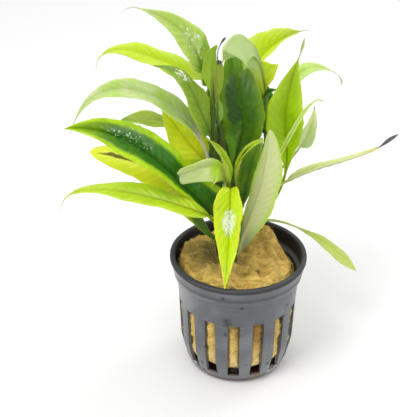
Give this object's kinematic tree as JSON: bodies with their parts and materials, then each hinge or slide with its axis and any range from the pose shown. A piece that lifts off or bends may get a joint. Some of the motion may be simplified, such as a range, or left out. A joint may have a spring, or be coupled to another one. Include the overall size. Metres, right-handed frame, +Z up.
{
  "type": "potted hygrophila",
  "caption": "Aquarium plant with arching lance-shaped leaves on upright stems, rooted in a rockwool plug inside a slotted black net pot.",
  "frame": {"origin": "middle of the pot's underside", "axes": "+Z up, -Y towards the front as pictured, +X to the right"},
  "size_m": [0.1283, 0.0869, 0.1527],
  "materials": {
    "pot": "satin black moulded plastic",
    "rockwool": "matt fibrous yellow-brown rockwool",
    "stem": "olive-brown green stem",
    "leaf_bright": "yellow-green satin leaf",
    "leaf_deep": "dark green satin leaf",
    "leaf_olive": "olive leaf with a purple-brown midrib",
    "leaf_pale": "pale leaf underside"
  },
  "bodies": {
    "root": {"net_pot": "pot", "rockwool_plug": "rockwool", "stem_left": "stem", "stem_middle": "stem", "stem_right": "stem", "stem_front": "stem", "stem_back": "stem", "leaf_left_low": "leaf_bright", "leaf_front_torn": "leaf_pale", "leaf_left_broad": "leaf_bright", "leaf_left_arching": "leaf_bright", "leaf_left_inner": "leaf_deep", "leaf_left_yellow": "leaf_bright", "leaf_left_crown": "leaf_bright", "leaf_left_upright": "leaf_bright", "leaf_left_back_low": "leaf_bright", "leaf_front_low": "leaf_bright", "leaf_front_broad": "leaf_deep", "leaf_front_hanging": "leaf_bright", "leaf_front_right": "leaf_pale", "leaf_front_young_left": "leaf_bright", "leaf_front_young_right": "leaf_bright", "leaf_middle_shaded": "leaf_deep", "leaf_middle_upright": "leaf_deep", "leaf_middle_olive": "leaf_olive", "leaf_middle_rolled": "leaf_bright", "leaf_middle_back": "leaf_deep", "leaf_right_over_rim": "leaf_pale", "leaf_right_withered": "leaf_pale", "leaf_right_tall": "leaf_bright", "leaf_right_edge": "leaf_bright", "leaf_right_dark": "leaf_deep", "leaf_right_olive": "leaf_olive", "leaf_right_hood": "leaf_pale", "leaf_right_arching": "leaf_pale", "leaf_right_pale": "leaf_pale", "leaf_right_back_low": "leaf_bright", "leaf_right_back_high": "leaf_deep", "leaf_back_left": "leaf_deep", "leaf_back_crown": "leaf_bright", "leaf_back_low": "leaf_bright", "leaf_back_low_left": "leaf_deep", "leaf_back_low_right": "leaf_bright", "leaf_back_middle": "leaf_deep", "leaf_back_upper": "leaf_bright"}
  },
  "joints": []
}
